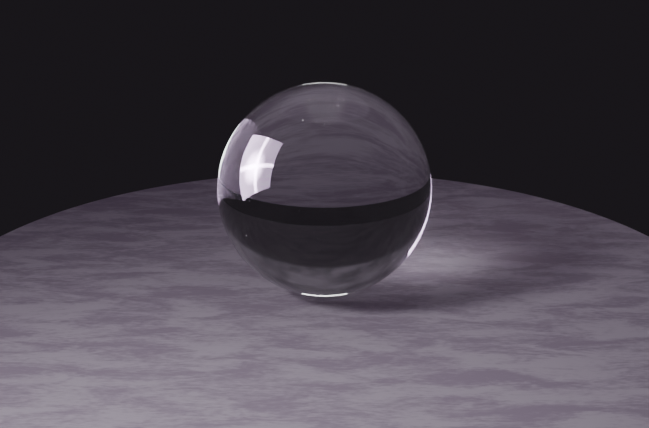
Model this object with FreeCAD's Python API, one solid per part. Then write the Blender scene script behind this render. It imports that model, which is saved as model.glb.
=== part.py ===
"""Crystal ball: a solid sphere of clear optical glass, ground and polished from one block.

It is one piece with nothing inside it. It has no flat, hole, fitting or stem, so its whole
surface is one sphere. The origin is the lowest point, where the ball touches whatever it
rests on, and +Z is up. All sizes are in millimetres.
"""

import FreeCAD
import Part

import os

BALL_DIAMETER = 100.0

PARTS_FOLDER = "parts"


def glass_ball():
    """The ball, with its lowest point at the origin."""
    radius = BALL_DIAMETER / 2
    centre = FreeCAD.Vector(0, 0, radius)
    return Part.makeSphere(radius, centre)


def write_part(node, shape):
    """Writes one sub-part as a STEP file named after its node."""
    shape.exportStep(os.path.join(PARTS_FOLDER, node + ".step"))


os.makedirs(PARTS_FOLDER, exist_ok=True)
write_part("glass_ball", glass_ball())
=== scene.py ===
import math

import bmesh
import bpy
from mathutils import Matrix, Vector


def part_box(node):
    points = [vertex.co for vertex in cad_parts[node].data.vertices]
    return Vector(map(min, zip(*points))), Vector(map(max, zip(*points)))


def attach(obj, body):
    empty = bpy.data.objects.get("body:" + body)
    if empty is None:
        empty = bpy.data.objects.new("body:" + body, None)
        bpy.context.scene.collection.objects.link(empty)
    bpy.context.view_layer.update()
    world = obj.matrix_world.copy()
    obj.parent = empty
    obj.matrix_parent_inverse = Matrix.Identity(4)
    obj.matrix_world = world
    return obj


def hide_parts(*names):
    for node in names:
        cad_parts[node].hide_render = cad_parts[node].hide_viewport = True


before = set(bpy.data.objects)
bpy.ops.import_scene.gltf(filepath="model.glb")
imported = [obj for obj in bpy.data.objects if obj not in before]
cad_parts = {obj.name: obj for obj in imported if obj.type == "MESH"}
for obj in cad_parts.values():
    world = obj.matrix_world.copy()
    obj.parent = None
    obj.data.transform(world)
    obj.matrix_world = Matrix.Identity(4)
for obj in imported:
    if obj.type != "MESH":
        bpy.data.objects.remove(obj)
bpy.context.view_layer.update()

# Lengths are in metres and angles in degrees. A GRAIN is a noise's detail, roughness and
# distortion, and LEVELS are the values at which a ramp starts and ends.

# ---- the ball ---------------------------------------------------------------------------
ball_low, ball_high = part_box("glass_ball")
RADIUS = (ball_high[2] - ball_low[2]) / 2
CENTRE = Vector((0, 0, ball_low[2] + RADIUS))
GRID_CELLS = 84                      # along each edge of the cube the sphere is blown up from
CORNER_DIGITS = 9                    # corners that agree to this many decimals are one

GLASS_IOR = 1.517                    # crown optical glass
GLASS_TINT = (0.80, 0.90, 0.86, 1)   # left after a metre of glass, about
GLASS_DENSITY = 1.0
POLISH_ROUGHNESS = 0.004
SMEAR_SCALE = 34.0                   # smears from handling, about 3 cm across
SMEAR_GRAIN = (3.0, 0.5, 0.8)
SMEAR_LEVELS = (0.52, 0.78)
SMEAR_ROUGHNESS = 0.045
WIPE_TURN = (35, 20, 50)             # hairline marks from a cloth, all one way
WIPE_STRETCH = (1.0, 22.0, 22.0)
WIPE_SCALE = 70.0
WIPE_GRAIN = (1.0, 0.4, 0.2)
WIPE_LEVELS = (0.66, 0.74)
WIPE_ROUGHNESS = 0.05
SPECK_SCALE = 120.0                  # pinprick specks, one to an 8 mm cell, most cells empty
SPECK_EDGE = (0.025, 0.045)
SPECK_EMPTY = 0.80
SPECK_ROUGHNESS = 0.5

# ---- the stage --------------------------------------------------------------------------
FLOOR_RADIUS = 0.195
FLOOR_EDGE = 0.006
FLOOR_DEPTH = 0.02
FLOOR_SEGMENTS = 256
FLOOR_EDGE_STEPS = 8
FLOOR_ROUGHNESS = 0.8
FLOOR_PALE = (0.70, 0.61, 0.73, 1)
FLOOR_NAP = (0.49, 0.395, 0.52, 1)   # the nap's darker lie
NAP_TURN = 8
NAP_STRETCH = (0.30, 1.0, 1.0)
NAP_SCALE = 85.0
NAP_GRAIN = (4.0, 0.62, 0.6)
NAP_FINER = 9.0                      # the fine lies' scale over the broad ones'
NAP_FINE_GRAIN = (3.0, 0.6, 0.0)
NAP_SHARES = (0.72, 0.28)            # broad and fine
NAP_LEVELS = (0.40, 0.60)

SURROUND = 0.014                     # the dark room
ROOM_TINT = (1.0, 0.84, 1.06)
BACKDROP_GLOW = 0.055                # a faint mottled glow high on the room's walls
BACKDROP_START = 0.22                # as the sine of the height above level
BACKDROP_SOFT = 0.05
MOTTLE_SCALE = 5.0
MOTTLE_GRAIN = (5.0, 0.6, 0.0)
MOTTLE_LEVELS = (0.35, 0.65)
MOTTLE_RANGE = (0.45, 1.5)
CEILING_GLOW = 0.03
CEILING_START = (0.72, 0.96)

# Lamps are placed by two angles: round from -X towards +Y, and up. A LIGHT is a radiance.
SOFTBOX_SIZE = (1.456, 1.547)
SOFTBOX_DISTANCE = 1.8
SOFTBOX_PLACE = (-4.7, 21.3)
SOFTBOX_FACE = (11.0, 22.4)
SOFTBOX_ROLL = -144.3
SOFTBOX_LIGHT = 24.0
SOFTBOX_TINT = (1.0, 0.74, 1.12)
PANES = 0.9
PANE_SIDES = (0.62, 1.25)            # the front panes and the rear ones, against PANES
PANE_BLEND = (0.2, 0.8)              # where across the front one turns into the other
SEAMS = 7.0
SEAM_WIDTHS = (0.07, 0.06)
SEAM_FADE = 0.55                     # a seam's strength far from the bulb, against that at it
SEAM_FADE_REACH = 0.5
HOT_SPOT = (0.58, 0.52)              # across and along the softbox's front
HOT_LIGHT = 7.0
HOT_RADIUS = 0.34
REAR_STRIP = (0.62, 1.12)            # from and to over the softbox's width, for the right-hand arc
REAR_LIGHT = 150.0

KEY_PLACE = (-33.0, 32.0)
KEY_DISTANCE = 0.9
KEY_SIZE = (0.24, 0.24)
KEY_LIGHT = 1.35
KEY_AIM = Vector((-0.08, -0.20, 0.0))  # forward of the ball, so that the floor dims to the rear
KEY_SPREAD = 33.0
CAUSTIC_LIGHT = 45.0                 # what the key throws through the ball
FILL_PLACE = (90.0, 80.0)
FILL_DISTANCE = 0.8
FILL_SIZE = (0.5, 0.5)
FILL_LIGHT = 0.22
OVERHEAD_PLACE = (90.0, 63.0)        # above and behind, for the arcs at the top and bottom
OVERHEAD_DISTANCE = 0.8
OVERHEAD_SIZE = (0.34, 0.28)
OVERHEAD_LIGHT = 450.0
RIM_PLACE = (69.6, -10.0)            # behind on the left, seen just over the floor's far edge
RIM_DISTANCE = 1.0
RIM_SIZE = (0.22, 0.13)
RIM_LIGHT = 8.0
RIM_TINT = (0.90, 1.0, 0.92)

CAMERA_ELEVATION = 18.0
CAMERA_LENS = 60.0                   # millimetres
CAMERA_CLIP = (0.1, 400.0)           # in radii
BALL_WIDTH_IN_FRAME = 0.331          # the ball's width over the frame's width
AIM_BELOW_CENTRE = 0.228             # how far below the ball's middle it aims, in radii


# ---- small helpers ----------------------------------------------------------------------
def new_object(name, data):
    thing = bpy.data.objects.new(name, data)
    bpy.context.scene.collection.objects.link(thing)
    return thing


def finished_mesh(name, bm):
    mesh = bpy.data.meshes.new(name)
    bm.to_mesh(mesh)
    bm.free()
    return mesh


def link(nt, a, b):
    nt.links.new(a, b)


def math_node(nt, operation, a, b=None, c=None):
    node = nt.nodes.new("ShaderNodeMath")
    node.operation = operation
    for into, value in zip(node.inputs, (a, b, c)):
        if value is None:
            continue
        if isinstance(value, (int, float)):
            into.default_value = value
        else:
            link(nt, value, into)
    return node.outputs[0]


def ramp_node(nt, value, levels, to=(0.0, 1.0), kind="SMOOTHSTEP"):
    """Takes the value from one pair of levels to another, eased unless kind says otherwise."""
    node = nt.nodes.new("ShaderNodeMapRange")
    node.interpolation_type = kind
    node.inputs["From Min"].default_value = levels[0]
    node.inputs["From Max"].default_value = levels[1]
    node.inputs["To Min"].default_value = to[0]
    node.inputs["To Max"].default_value = to[1]
    link(nt, value, node.inputs["Value"])
    return node.outputs[0]


def noise_node(nt, vector, scale, grain):
    node = nt.nodes.new("ShaderNodeTexNoise")
    node.inputs["Scale"].default_value = scale
    for name, value in zip(("Detail", "Roughness", "Distortion"), grain):
        node.inputs[name].default_value = value
    link(nt, vector, node.inputs["Vector"])
    return node.outputs["Fac"]


def stretched(nt, vector, turn, stretch):
    node = nt.nodes.new("ShaderNodeMapping")
    node.inputs["Rotation"].default_value = tuple(math.radians(d) for d in turn)
    node.inputs["Scale"].default_value = stretch
    link(nt, vector, node.inputs["Vector"])
    return node.outputs[0]


def object_space(nt):
    return nt.nodes.new("ShaderNodeTexCoord").outputs["Object"]


# ---- the ball's shape and glass ---------------------------------------------------------
def sphere_mesh(name, centre, radius, cells):
    """A sphere of nearly even quads: a cube's grid pushed out to the radius."""
    bm = bmesh.new()
    seen = {}

    def corner(point):
        key = tuple(round(c, CORNER_DIGITS) for c in point)
        if key not in seen:
            warped = Vector([math.tan(c * math.pi / 4) for c in point])
            seen[key] = bm.verts.new(centre + warped.normalized() * radius)
        return seen[key]

    steps = [2 * i / cells - 1 for i in range(cells + 1)]
    for axis in range(3):
        for side in (-1, 1):
            for i in range(cells):
                for j in range(cells):
                    ring = []
                    for a, b in ((i, j), (i + 1, j), (i + 1, j + 1), (i, j + 1)):
                        point = [0.0, 0.0, 0.0]
                        point[axis] = side
                        point[(axis + 1) % 3] = steps[a]
                        point[(axis + 2) % 3] = steps[b]
                        ring.append(corner(point))
                    if side < 0:
                        ring.reverse()
                    bm.faces.new(ring)
    for face in bm.faces:
        face.smooth = True
    return finished_mesh(name, bm)


def speck_mask(nt, coord):
    """1 inside a few tiny round dots scattered over the surface, 0 elsewhere."""
    cells = nt.nodes.new("ShaderNodeTexVoronoi")
    cells.inputs["Scale"].default_value = SPECK_SCALE
    link(nt, coord, cells.inputs["Vector"])
    pick = nt.nodes.new("ShaderNodeSeparateColor")
    link(nt, cells.outputs["Color"], pick.inputs[0])
    dot = ramp_node(nt, cells.outputs["Distance"], SPECK_EDGE, (1.0, 0.0))
    return math_node(nt, "MULTIPLY", dot,
                     math_node(nt, "GREATER_THAN", pick.outputs[0], SPECK_EMPTY))


def glass_material():
    """Polished clear glass: handling smears, hairline wipe marks and a few pinprick specks."""
    mat = bpy.data.materials.new("clear_glass")
    mat.use_nodes = True
    nt = mat.node_tree
    p = nt.nodes["Principled BSDF"]
    p.inputs["Base Color"].default_value = (1, 1, 1, 1)
    p.inputs["Transmission Weight"].default_value = 1.0
    p.inputs["IOR"].default_value = GLASS_IOR
    coord = object_space(nt)
    smear = ramp_node(nt, noise_node(nt, coord, SMEAR_SCALE, SMEAR_GRAIN), SMEAR_LEVELS)
    wipe = stretched(nt, coord, WIPE_TURN, WIPE_STRETCH)
    lines = ramp_node(nt, noise_node(nt, wipe, WIPE_SCALE, WIPE_GRAIN), WIPE_LEVELS)
    rough = math_node(nt, "MULTIPLY_ADD", smear, SMEAR_ROUGHNESS, POLISH_ROUGHNESS)
    rough = math_node(nt, "MULTIPLY_ADD", lines, WIPE_ROUGHNESS, rough)
    specks = math_node(nt, "MULTIPLY", speck_mask(nt, coord), SPECK_ROUGHNESS)
    link(nt, math_node(nt, "MAXIMUM", rough, specks), p.inputs["Roughness"])
    vol = nt.nodes.new("ShaderNodeVolumeAbsorption")
    vol.inputs["Color"].default_value = GLASS_TINT
    vol.inputs["Density"].default_value = GLASS_DENSITY
    link(nt, vol.outputs[0], nt.nodes["Material Output"].inputs["Volume"])
    return mat


ball = new_object("crystal_ball", sphere_mesh("crystal_ball", CENTRE, RADIUS, GRID_CELLS))
ball.data.materials.append(glass_material())
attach(ball, "root")
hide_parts("glass_ball")


# ---- the floor --------------------------------------------------------------------------
def disc_mesh(name, radius, edge, segments, steps):
    """A round slab with a rolled-over rim, its top at z = 0."""
    bm = bmesh.new()
    quarter = [math.pi / 2 * i / steps for i in range(steps + 1)]
    profile = [(radius - edge + edge * math.sin(t), -edge + edge * math.cos(t)) for t in quarter]
    profile.append((radius, -FLOOR_DEPTH))
    rings = []
    for r, z in profile:
        rings.append([bm.verts.new((r * math.cos(2 * math.pi * k / segments),
                                    r * math.sin(2 * math.pi * k / segments), z))
                      for k in range(segments)])
    bm.faces.new(rings[0])
    for low, high in zip(rings[1:], rings):
        for k in range(segments):
            bm.faces.new((low[k], low[(k + 1) % segments], high[(k + 1) % segments], high[k]))
    for face in bm.faces:
        face.smooth = len(face.verts) == 4
    return finished_mesh(name, bm)


def floor_material():
    """Pale felt: a soft nap brushed sideways, in broad lies and fine ones."""
    mat = bpy.data.materials.new("pale_floor")
    mat.use_nodes = True
    nt = mat.node_tree
    p = nt.nodes["Principled BSDF"]
    nap = stretched(nt, object_space(nt), (0, 0, NAP_TURN), NAP_STRETCH)
    broad = noise_node(nt, nap, NAP_SCALE, NAP_GRAIN)
    fine = noise_node(nt, nap, NAP_SCALE * NAP_FINER, NAP_FINE_GRAIN)
    tone = math_node(nt, "ADD", math_node(nt, "MULTIPLY", broad, NAP_SHARES[0]),
                     math_node(nt, "MULTIPLY", fine, NAP_SHARES[1]))
    mix = nt.nodes.new("ShaderNodeMix")
    mix.data_type = "RGBA"           # the colours are inputs 6 and 7 and output 2
    mix.inputs[6].default_value = FLOOR_NAP
    mix.inputs[7].default_value = FLOOR_PALE
    link(nt, ramp_node(nt, tone, NAP_LEVELS), mix.inputs["Factor"])
    link(nt, mix.outputs[2], p.inputs["Base Color"])
    p.inputs["Roughness"].default_value = FLOOR_ROUGHNESS
    p.inputs["Specular IOR Level"].default_value = 0.0
    return mat


floor = new_object("floor", disc_mesh("floor", FLOOR_RADIUS, FLOOR_EDGE, FLOOR_SEGMENTS,
                                      FLOOR_EDGE_STEPS))
floor.data.materials.append(floor_material())


# ---- the dark room round it -------------------------------------------------------------
world = bpy.data.worlds.new("studio")
bpy.context.scene.world = world
world.use_nodes = True
wn = world.node_tree
way = wn.nodes.new("ShaderNodeTexCoord").outputs["Generated"]
split = wn.nodes.new("ShaderNodeSeparateXYZ")
link(wn, way, split.inputs[0])
height = split.outputs["Z"]
mottle = ramp_node(wn, noise_node(wn, way, MOTTLE_SCALE, MOTTLE_GRAIN), MOTTLE_LEVELS,
                   MOTTLE_RANGE)
backdrop = ramp_node(wn, height, (BACKDROP_START, BACKDROP_START + BACKDROP_SOFT),
                     (0.0, BACKDROP_GLOW))
ceiling = ramp_node(wn, height, CEILING_START, (0.0, CEILING_GLOW))
level = math_node(wn, "ADD", math_node(wn, "MULTIPLY_ADD", backdrop, mottle, SURROUND), ceiling)
tint = wn.nodes.new("ShaderNodeVectorMath")
tint.operation = "SCALE"
tint.inputs[0].default_value = ROOM_TINT
link(wn, level, tint.inputs["Scale"])
link(wn, tint.outputs[0], wn.nodes["Background"].inputs["Color"])


# ---- lamps ------------------------------------------------------------------------------
def bearing(place):
    """The way out to a lamp, from its two angles."""
    az, el = (math.radians(d) for d in place)
    return Vector((-math.cos(el) * math.cos(az), math.cos(el) * math.sin(az), math.sin(el)))


def area_light(name, place, distance, size, radiance, only, face=None, roll=0.0,
               colour=(1, 1, 1)):
    """A flat lamp that lights one object, facing the ball's middle unless face says otherwise."""
    data = bpy.data.lights.new(name, "AREA")
    data.shape = "RECTANGLE"
    data.size, data.size_y = size
    data.energy = radiance * math.pi * size[0] * size[1]
    data.color = colour
    lamp = new_object(name, data)
    normal = bearing(face or place)
    flat = Vector((0, 0, 1)).cross(normal).normalized()
    rise = normal.cross(flat)
    turn = math.radians(roll)
    across = flat * math.cos(turn) + rise * math.sin(turn)
    along = rise * math.cos(turn) - flat * math.sin(turn)
    axes = Matrix((across, along, normal)).transposed().to_4x4()
    lamp.matrix_world = Matrix.Translation(CENTRE + bearing(place) * distance) @ axes
    group = bpy.data.collections.new(name + "_lights")
    group.objects.link(only)
    lamp.light_linking.receiver_collection = group
    return lamp


def aim_at(lamp, point, spread):
    """Turns a lamp to a point and narrows its beam."""
    where = lamp.matrix_world.translation.copy()
    turn = (point - where).to_track_quat("-Z", "Y")
    lamp.matrix_world = Matrix.Translation(where) @ turn.to_matrix().to_4x4()
    lamp.data.spread = math.radians(spread)


def lamp_nodes(lamp):
    lamp.data.use_nodes = True
    return lamp.data.node_tree


def quartered_front(lamp):
    """A softbox's front: four panes, brighter along the seams between them and at the bulb."""
    nt = lamp_nodes(lamp)
    front = nt.nodes.new("ShaderNodeSeparateXYZ")
    link(nt, nt.nodes.new("ShaderNodeNewGeometry").outputs["Parametric"], front.inputs[0])
    across, along = front.outputs[0], front.outputs[1]
    seams = []
    for place, width in zip((across, along), SEAM_WIDTHS):
        off = math_node(nt, "ABSOLUTE", math_node(nt, "SUBTRACT", place, 0.5))
        seams.append(ramp_node(nt, off, (0.0, width), (1.0, 0.0)))
    seam = math_node(nt, "MAXIMUM", *seams)
    hot_u = math_node(nt, "SUBTRACT", across, HOT_SPOT[0])
    hot_v = math_node(nt, "SUBTRACT", along, HOT_SPOT[1])
    far = math_node(nt, "SQRT", math_node(nt, "ADD", math_node(nt, "MULTIPLY", hot_u, hot_u),
                                          math_node(nt, "MULTIPLY", hot_v, hot_v)))
    seam = math_node(nt, "MULTIPLY", seam,
                     ramp_node(nt, far, (0.0, SEAM_FADE_REACH), (1.0, SEAM_FADE)))
    pane = ramp_node(nt, across, PANE_BLEND, tuple(PANES * side for side in PANE_SIDES))
    hot = ramp_node(nt, far, (0.0, HOT_RADIUS), (HOT_LIGHT, 0.0))
    return math_node(nt, "ADD", math_node(nt, "MULTIPLY_ADD", seam, SEAMS, pane), hot)


def share(lamp, seen, cast, strength=None):
    """Weighs a lamp as seen in the ball against the light it throws through it on the floor."""
    nt = lamp_nodes(lamp)
    bounces = nt.nodes.new("ShaderNodeLightPath").outputs["Diffuse Depth"]
    weight = ramp_node(nt, bounces, (0.0, 1.0), (seen, cast), "LINEAR")
    if strength is not None:
        weight = math_node(nt, "MULTIPLY", weight, strength)
    link(nt, weight, nt.nodes["Emission"].inputs["Strength"])


# The softbox gives the reflection at the upper left and the crescent along the left edge.
softbox = area_light("softbox", SOFTBOX_PLACE, SOFTBOX_DISTANCE, SOFTBOX_SIZE, SOFTBOX_LIGHT,
                     ball, SOFTBOX_FACE, SOFTBOX_ROLL, SOFTBOX_TINT)
share(softbox, 1.0, 0.0, quartered_front(softbox))
rear_width = (REAR_STRIP[1] - REAR_STRIP[0]) * SOFTBOX_SIZE[0]
rear_shift = ((REAR_STRIP[0] + REAR_STRIP[1]) / 2 - 0.5) * SOFTBOX_SIZE[0]
rear = area_light("softbox_rear", SOFTBOX_PLACE, SOFTBOX_DISTANCE, (rear_width, SOFTBOX_SIZE[1]),
                  REAR_LIGHT, ball, SOFTBOX_FACE, SOFTBOX_ROLL, SOFTBOX_TINT)
rear.matrix_world = rear.matrix_world @ Matrix.Translation((rear_shift, 0, 0))
overhead = area_light("overhead", OVERHEAD_PLACE, OVERHEAD_DISTANCE, OVERHEAD_SIZE,
                      OVERHEAD_LIGHT, ball)
for lamp in (rear, overhead):          # seen only through the glass
    lamp.visible_glossy = False
    share(lamp, 1.0, 0.0)
rim = area_light("rim", RIM_PLACE, RIM_DISTANCE, RIM_SIZE, RIM_LIGHT, ball, colour=RIM_TINT)
rim.visible_camera = False             # seen only as a reflection
rim.visible_transmission = False
share(rim, 1.0, 0.0)
key = area_light("key", KEY_PLACE, KEY_DISTANCE, KEY_SIZE, KEY_LIGHT, floor)
aim_at(key, KEY_AIM, KEY_SPREAD)
through = area_light("key_through_ball", KEY_PLACE, KEY_DISTANCE, KEY_SIZE, CAUSTIC_LIGHT, ball)
share(through, 0.0, 1.0)
area_light("fill", FILL_PLACE, FILL_DISTANCE, FILL_SIZE, FILL_LIGHT, floor)

# ---- camera -----------------------------------------------------------------------------
cam_data = bpy.data.cameras.new("camera")
cam_data.lens = CAMERA_LENS
cam_data.clip_start, cam_data.clip_end = (RADIUS * reach for reach in CAMERA_CLIP)
cam = new_object("camera", cam_data)
half_width = BALL_WIDTH_IN_FRAME / 2 * cam_data.sensor_width / cam_data.lens
distance = RADIUS / math.sin(math.atan(half_width))
tilt = math.radians(CAMERA_ELEVATION)
drop = Vector((0, math.sin(tilt), math.cos(tilt))) * AIM_BELOW_CENTRE * RADIUS
cam.location = CENTRE + Vector((0, -math.cos(tilt), math.sin(tilt))) * distance
cam.rotation_mode = "QUATERNION"
cam.rotation_quaternion = (CENTRE - drop - cam.location).to_track_quat("-Z", "Y")
bpy.context.scene.camera = cam
